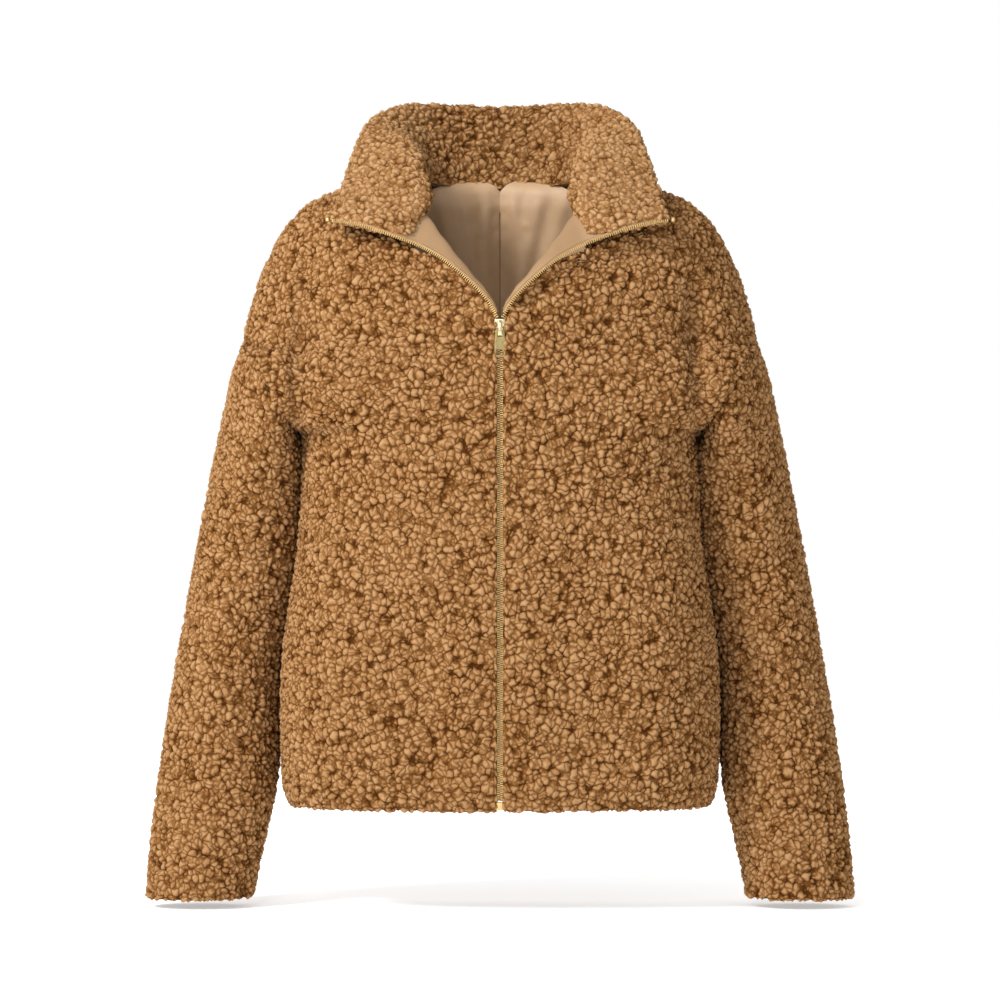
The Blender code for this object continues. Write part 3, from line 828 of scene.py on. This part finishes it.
def build_collars(look):
    last = len(COLLAR_ROWS) - 1
    for name, side in (("pile_collar_outer", 1), ("pile_collar_inner", -1)):
        grids = []
        for right in (False, True):
            low = -COLLAR_REACH if side < 0 else 0
            grid = even_grid(collar_surface, (0, last), (low, 0.95), COLLAR_PILE_STEP)
            away = -normals_of(grid)
            away[0, :, 0] = 0
            away = unit(away)
            puff = np.exp(-((np.linspace(0, 1, grid.shape[1]) / COLLAR_PUFF_WIDTH) ** 2))
            puff = COLLAR_PUFF * (side < 0) * puff
            grid = grid + away * side * (COLLAR_WALL + puff[None, :, None])
            normals = away * side
            if right:
                grid, normals = mirrored(grid), mirrored(normals)
            grid, normals = rolled(grid, normals, "end", *COLLAR_ROLL)
            grid, normals = rolled(grid, normals, "high", *COLLAR_ROLL)
            grids.append((grid, normals, *tall_as(grid, COLLAR_CURL_SHARE)))
        # Painted light: beyond 58 mm from the middle the collar's open wings get a paler colour.
        pile(look, name, grids, weld=0.01, painted_light_from=58)


def build_backings(look):
    """The knitted ground of each fleece panel, a thin shell at the wall's inside."""
    backs = []
    for front in (True, False):
        for right in (False, True):
            layers = [half_body(front, right, depth, 7)[0] for depth in (WALL - BACKING, WALL)]
            for layer in layers:
                clear_of_seam(layer, front)
            if front:
                look.backing(sided("front_", right), [layers])
            else:
                backs.append(layers)
    look.backing("back", backs)
    for right in (False, True):
        tube = even_grid(sleeve_surface, (0, len(SLEEVE_ROWS) - 1.06), (0, 1), 7)
        tube, out = on_side(tube, normals_of(tube, closed=True), right)
        layers = [tube - out * depth for depth in (WALL - BACKING, WALL)]
        look.backing(sided("sleeve_", right), [layers])
    middle = even_grid(collar_surface, (0, len(COLLAR_ROWS) - 1), (0, 0.97), 6)
    away = -normals_of(middle)
    away[0, :, 0] = 0
    for name, side in (("collar_outer", 1), ("collar_inner", -1)):
        layers = [middle + unit(away) * side * depth for depth in (SEAM_GAP, SEAM_GAP + BACKING)]
        look.backing(name, [layers, [mirrored(layer) for layer in layers]])


# Folds of the hanging lining: a line of x and z, its width and how far it rises into the jacket.
LINING_FOLDS = [
    ([(-12, 14), (-15, -40), (-6, -150)], 6, 3.0),
    ([(14, 14), (20, -40), (7, -150)], 7, 3.6),
    ([(-38, 14), (-30, -30), (-18, -130)], 8, 4.6),
    ([(42, 16), (34, -20), (20, -90), (14, -140)], 8, 5.2),
    ([(-64, 14), (-52, -30), (-38, -110)], 9, 4.0),
    ([(66, 14), (54, -34), (36, -110)], 9, 4.4),
    ([(-26, 6), (-22, -24)], 4, 2.0),
    ([(29, 12), (27, -16)], 4, 2.2),
]


def lining_rise(grid):
    """How far the lining's folds and the pucker of its middle seam raise it towards the inside."""
    flat = grid[..., [0, 2]]
    rise = np.zeros(grid.shape[:-1])
    for line, width, height in LINING_FOLDS:
        rise += height * np.exp(-((off_line(flat, line) / width) ** 2))
    x, z = flat[..., 0], flat[..., 1]
    rise -= 1.0 * np.exp(-((x / 2.2) ** 2))
    rise += 0.5 * np.sin(z / 3.1 + 0.6 * np.sin(z / 11)) * np.exp(-((np.abs(x) - 4) ** 2) / 18)
    rise += 0.9 * np.sin(x / 9.5 + 0.02 * z) * ramp(z, -420, -160)
    return np.maximum(rise, -1.3) * (1 - 0.6 * ramp(z, 0, 16))


def build_linings(look):
    start = WALL + SEAM_GAP + LINING_SLACK
    for front, depth, step in ((True, start + TAPE + SEAM_GAP, 7.0), (False, start, 4.0)):
        for right in (False, True):
            grid, normals = half_body(front, right, depth, step, (0.8, LAST_BODY_ROW), (0, 0.985))
            clear_of_seam(grid, front)
            way = -1 if right else 1
            grid[:, 0, 0] = way * np.maximum(way * grid[:, 0, 0], 6.8 if front else CENTRE_GAP)
            if not front:
                top = ramp(grid[..., 2], 2, 18)
                grid = grid + np.stack([top * 0, top * 1.6, top * -0.8], axis=-1)
            rise = 1.2 * np.sin(grid[..., 0] / 13) if front else lining_rise(grid)
            grid = grid - normals * rise[..., None]
            name = sided("lining_front_" if front else "lining_back_", right)
            layers = [grid, grid - normals * LINING]
            look.cloth(name, shell(name + "_cloth", [layers], look.lining))


def open_zip_at(places):
    """The teeth's middle where the zip is open, and the way from there into the opening."""
    points = track(OPEN_ZIP, places)
    low, high = (track(OPEN_ZIP, np.clip(places + d, 0, len(OPEN_ZIP) - 1)) for d in (-0.5, 0.5))
    way = np.stack([low[:, 2] - high[:, 2], 0 * places, high[:, 0] - low[:, 0]], axis=-1)
    return points, unit(way)


def build_facings(look):
    steps = np.linspace(0, len(TURNED_STRIP) - 1, 25)
    place, width = track(TURNED_STRIP, steps).T
    teeth, inwards = open_zip_at(place)
    width = width[:, None]
    edge = teeth + inwards * FACING_FROM + np.array((0, 0.4, 0))
    roll = teeth + inwards * width + np.array((0, 2.0, 0)) + width * np.array((0, 0.6, 0))
    end = roll + np.array((0, 8.0, 0)) - inwards * 3
    grid = conics(edge, 2 * roll - (edge + end) / 2, end, np.ones(len(steps)), np.linspace(0, 1, 12))
    normals = normals_of(grid)
    crinkle = 0.5 * np.sin(steps * 5.3)[:, None] * np.sin(np.linspace(0, math.pi, 12))[None, :]
    grid = grid + normals * crinkle[..., None]
    for right in (False, True):
        name = sided("facing_", right)
        layers = [grid, grid - normals * LINING]
        layers = [mirrored(layer) if right else layer for layer in layers]
        look.cloth(name, shell(name + "_cloth", [layers], look.facing))


def front_surface_y(heights):
    """How far forward the fleece lies beside the closed zip."""
    rows = [row[:3] for row in body_table(True)[: len(TORSO_ROWS) + len(ARMHOLE_ROWS)]]
    rows = sorted((row[2], row[1]) for row in rows)
    return np.interp(heights, [z for z, _ in rows], [y for _, y in rows])


def ribbon(name, rails, thick, right, finish):
    """A flat woven band between two rails."""
    near, far = rails
    share = np.linspace(0, 1, 7)[None, :, None]
    grid = near[:, None] * (1 - share) + far[:, None] * share
    back = np.array((0.0, 1.0, 0.0)) * thick
    layers = [grid, grid + back]
    if right:
        layers = [mirrored(layer) for layer in layers]
    return shell(name, [layers], finish)


def build_tapes(look):
    z = np.linspace(HEM + BOX_HEIGHT + 2, SLIDER_BOTTOM - 0.5, 60)
    y = front_surface_y(z) + WALL + SEAM_GAP
    closed = [np.stack([np.full_like(z, x), y, z], axis=-1) for x in (SEAM_GAP / 2, TAPE_WIDTH)]
    half = TOOTH_WIDTH / 2
    points, inwards = open_zip_at(np.linspace(1, len(OPEN_ZIP) - 1, 80))
    shift = np.array((0, -TAPE / 2, 0))
    opened = [points + inwards * d + shift for d in (half - 0.6, half + SEAM_GAP + TAPE_SHOWN)]
    for right in (False, True):
        for start, rails in (("zip_tape_closed_", closed), ("zip_tape_open_", opened)):
            name = sided(start, right)
            look.cloth(name, ribbon(name + "_band", rails, TAPE, right, look.tape))


def tooth():
    """One tooth: a rounded block with a narrow head towards +X and its foot round the tape's edge."""
    bm = bmesh.new()
    bmesh.ops.create_cube(bm, size=1)
    bmesh.ops.scale(bm, vec=(TOOTH_WIDTH + 0.5, TOOTH_DEPTH, 1.25), verts=bm.verts)
    head = [v for v in bm.verts if v.co.x > 0]
    bmesh.ops.scale(bm, vec=(1, 0.82, 0.72), verts=head)
    bmesh.ops.bevel(
        bm, geom=bm.edges[:], offset=0.22, segments=1, profile=0.5, affect="EDGES", material=-1
    )
    return bm


def toothed(name, places, finish, node):
    """A row of teeth at places, each a middle, the way its head points and the way along the row."""
    one = as_mesh(tooth(), "tooth")
    bm = bmesh.new()
    for middle, head, along in places:
        front = Vector(along).cross(Vector(head))
        turn = Matrix((head, front, along)).transposed().to_4x4()
        before = len(bm.verts)
        bm.from_mesh(one)
        bm.verts.ensure_lookup_table()
        new = bm.verts[before:]
        bmesh.ops.transform(bm, matrix=Matrix.Translation(middle) @ turn, verts=new)
    bmesh.ops.scale(bm, vec=(MM, MM, MM), verts=bm.verts)
    bmesh.ops.recalc_face_normals(bm, faces=bm.faces)
    mesh = as_mesh(bm, name)
    made = to_object(name, mesh, finish)
    mesh.set_sharp_from_angle(angle=math.radians(35))
    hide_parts(node)


def build_teeth(look):
    heights = np.arange(HEM + BOX_HEIGHT + 3, SLIDER_BOTTOM - 1, TOOTH_PITCH)
    dense = np.linspace(0, len(OPEN_ZIP) - 1, 600)
    points, inwards = open_zip_at(dense)
    total = np.concatenate([[0], np.cumsum(np.linalg.norm(np.diff(points, axis=0), axis=1))])
    at = np.interp(np.arange(1.2, total[-1] - 0.6, TOOTH_PITCH), total, dense)
    points, inwards = open_zip_at(at)
    for side, name in ((1, "left"), (-1, "right")):
        z = heights + (TOOTH_PITCH / 2 if side > 0 else 0)
        y = front_surface_y(z) + ZIP_SINK + TOOTH_DEPTH / 2
        closed = [((side * 1.35, b, c), (-side, 0, 0), (0, 0, 1)) for b, c in zip(y, z)]
        toothed(f"teeth_closed_{name}", closed, look.gold, f"zip_teeth_closed_{name}")
        opened = []
        for point, way in zip(points, inwards):
            head = -way * (side, 1, 1)
            along = np.cross((0, 1, 0), head)
            opened.append((point * (side, 1, 1), head, along))
        toothed(f"teeth_open_{name}", opened, look.gold, f"zip_teeth_open_{name}")


def bevelled(bm, width):
    sharp = [edge for edge in bm.edges if len(edge.link_faces) == 2 and edge.calc_face_angle() > 0.5]
    bmesh.ops.bevel(bm, geom=sharp, offset=width, segments=2, profile=0.5, affect="EDGES", material=-1)


def plate(bm, xs, zs, holes, front, back):
    """A flat plate over a grid of x and z, with some of its squares left out as holes."""
    verts = sheet_grid(bm, len(zs), len(xs))
    for vertex, at in zip(verts, [(x, front, z) for z in zs for x in xs]):
        vertex.co = at
    faces = list({face for vertex in verts for face in vertex.link_faces})
    gone = []
    for face in faces:
        middle = face.calc_center_median()
        if any(a < middle.x < b and c < middle.z < d for a, b, c, d in holes):
            gone.append(face)
    bmesh.ops.delete(bm, geom=gone, context="FACES")
    kept = [face for face in faces if face.is_valid]
    deeper = bmesh.ops.extrude_face_region(bm, geom=kept, use_keep_orig=True)
    moved = [item for item in deeper["geom"] if isinstance(item, bmesh.types.BMVert)]
    bmesh.ops.translate(bm, vec=(0, back - front, 0), verts=moved)
    bmesh.ops.recalc_face_normals(bm, faces=bm.faces)


def metal(name, bm, finish, node, body="jacket"):
    bmesh.ops.scale(bm, vec=(MM, MM, MM), verts=bm.verts)
    mesh = as_mesh(bm, name)
    made = to_object(name, mesh, finish, body)
    mesh.set_sharp_from_angle(angle=math.radians(35))
    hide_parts(node)


def build_slider(look):
    """The slider's two faces and shoulders, and the bridge that holds the pull."""
    half = SLIDER_WIDTH / 2
    foot = half * 0.74
    zs = np.linspace(SLIDER_BOTTOM, SLIDER_TOP, 9)
    bm = bmesh.new()
    for front in (SLIDER_FRONT_Y, SLIDER_FRONT_Y + SLIDER_DEPTH - SLIDER_PLATE):
        plate(bm, (-half, -half / 2, 0, half / 2, half), zs, [], front, front + SLIDER_PLATE)
    plate(bm, (-1.1, 1.1), zs[5:], [], SLIDER_FRONT_Y + 1.3, SLIDER_FRONT_Y + 5.3)
    for vertex in bm.verts:
        waist = mix(foot / half, 1, ramp(vertex.co.z, SLIDER_BOTTOM + 3, SLIDER_TOP - 5))
        crown = 1 - 0.22 * ramp(vertex.co.z, SLIDER_TOP - 3.5, SLIDER_TOP)
        if abs(vertex.co.x) > 1.2:
            vertex.co.x *= waist * crown
    bevelled(bm, 0.45)
    beam_y = SLIDER_FRONT_Y - 0.6 - PULL_THICK - 1.2
    rise = [
        (beam_y + 2.4, PULL_HINGE_Z - 4.6),
        (beam_y + 0.5, PULL_HINGE_Z - 4.2),
        (beam_y, PULL_HINGE_Z - 2.8),
        (beam_y, SLIDER_TOP - 4.6),
        (beam_y + 0.9, SLIDER_TOP - 2.4),
        (beam_y + 3.4, SLIDER_TOP - 1.2),
    ]
    strap = bmesh.new()
    places = [(x, y, z) for y, z in rise for x in (-1.8, 1.8)]
    for vertex, at in zip(sheet_grid(strap, len(rise), 2), places):
        vertex.co = at
    bmesh.ops.recalc_face_normals(strap, faces=strap.faces)
    bmesh.ops.solidify(strap, geom=strap.faces[:], thickness=-1.1)
    bmesh.ops.recalc_face_normals(strap, faces=strap.faces)
    bevelled(strap, 0.3)
    bm.from_mesh(as_mesh(strap, "bridge"))
    metal("slider", bm, look.brass, "zip_slider")


def build_pull(look):
    half, foot = PULL_WIDTH / 2, PULL_BOTTOM - PULL_HINGE_Z
    bm = bmesh.new()
    xs = (-half, -3.5, -2.4, 2.4, 3.5, half)
    zs = (foot, foot + 2.0, foot + 7.4, -14.0, -10.0, -7.4, -5.6, -0.7, 0.7)
    holes = [(-2.4, 2.4, -5.6, -0.7), (-3.5, 3.5, foot + 2.0, foot + 7.4)]
    plate(bm, xs, zs, holes, -PULL_THICK / 2, PULL_THICK / 2)
    for vertex in bm.verts:
        narrow = mix(1, 0.86, ramp(vertex.co.z, -9.5, -7.0))
        vertex.co.x *= narrow if abs(vertex.co.x) > 2.5 else 1
    bevelled(bm, 0.32)
    hinge = (0, SLIDER_FRONT_Y - SEAM_GAP - PULL_THICK / 2, PULL_HINGE_Z)  # of the joint
    bmesh.ops.translate(bm, vec=hinge, verts=bm.verts)
    metal("pull_tab", bm, look.dull_brass, "zip_pull", "pull")


class Look:
    """The finishes, and the cloth pieces made so far by the node that each stands for."""

    def __init__(self):
        self.fleece = fleece_material()
        self.knit = knit_material()
        self.lining = lining_material("Taupe lining", (0.93, 0.92, 0.90))
        # The facing is the lining's cloth with darker, yellower colours: painted shade.
        self.facing = lining_material("Facing cloth in painted shade", (0.64, 0.59, 0.50))
        self.tape = tape_material()
        self.brass = brass_material("Pale brass", (0.74, 0.62, 0.36), 0.28)
        self.gold = brass_material("Gold teeth", (0.83, 0.58, 0.25), 0.3)
        self.dull_brass = brass_material("Worn brass", (0.30, 0.235, 0.105), 0.42)
        self.pile_nodes = pile_nodes()
        self.piles = []
        self.cloths = {}

    def cloth(self, node, made):
        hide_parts(node)
        self.cloths[node] = made

    def backing(self, node, sheets):
        self.cloth(node, shell("backing_" + node, sheets, self.knit))


def light(name, at, to, size, power):
    data = bpy.data.lights.new(name, "AREA")
    data.shape = "DISK"
    data.size = size
    data.energy = power
    made = bpy.data.objects.new(name, data)
    made.location = at
    made.rotation_euler = (Vector(to) - Vector(at)).to_track_quat("-Z", "Y").to_euler()
    bpy.context.collection.objects.link(made)


# The studio, in metres.
ROOM_LIGHT = 0.68  # the white room's share of the light
FLOOR_Z = -0.702
FLOOR_GLOW = 0.42
CAMERA_AWAY = 5.0
CAMERA_Z = -0.295
FRAME_WIDTH = 1.0
SENSOR = 36


def build_stage():
    world = bpy.data.worlds.new("white room")
    world.use_nodes = True
    tree = world.node_tree
    tree.nodes["Background"].inputs[0].default_value = (1, 1, 1, 1)
    seen = Value(tree, tree.nodes.new("ShaderNodeLightPath").outputs["Is Camera Ray"])
    tree.links.new(seen.between(0, 1, ROOM_LIGHT, 1.0).socket, tree.nodes["Background"].inputs[1])
    bpy.context.scene.world = world
    bpy.context.scene.view_settings.view_transform = "Standard"
    bm = bmesh.new()
    bmesh.ops.create_grid(bm, x_segments=1, y_segments=1, size=4)
    bmesh.ops.translate(bm, vec=(0, 0, FLOOR_Z), verts=bm.verts)
    mesh = as_mesh(bm, "floor")
    made = bpy.data.objects.new("floor", mesh)
    finish, shader, _ = material("Pale floor", 0.9)
    shader.inputs["Base Color"].default_value = (0.985, 0.985, 0.985, 1)
    shader.inputs["Emission Color"].default_value = (1, 1, 1, 1)
    shader.inputs["Emission Strength"].default_value = FLOOR_GLOW
    mesh.materials.append(finish)
    bpy.context.collection.objects.link(made)
    light("key light", (-2.2, -2.2, 2.0), (0, 0, -0.3), 1.1, 156)
    light("front light", (-0.8, -4.4, 1.2), (0, 0, -0.2), 1.2, 48)
    camera = bpy.data.cameras.new("camera")
    camera.sensor_fit = "HORIZONTAL"
    camera.sensor_width = SENSOR
    camera.lens = SENSOR * CAMERA_AWAY / FRAME_WIDTH
    camera.clip_end = 50
    made = bpy.data.objects.new("camera", camera)
    made.location = (0, -CAMERA_AWAY, CAMERA_Z)
    made.rotation_euler = (math.radians(90), 0, 0)
    bpy.context.collection.objects.link(made)
    bpy.context.scene.camera = made


def main():
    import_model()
    build_stage()
    look = Look()
    build_body(look)
    build_sleeves(look)
    build_collars(look)
    build_backings(look)
    build_linings(look)
    build_facings(look)
    build_tapes(look)
    build_teeth(look)
    build_slider(look)
    build_pull(look)
    for node in ("zip_stop_left", "zip_stop_right", "zip_box"):
        bpy.data.objects[node].material_slots[0].material = look.gold


main()
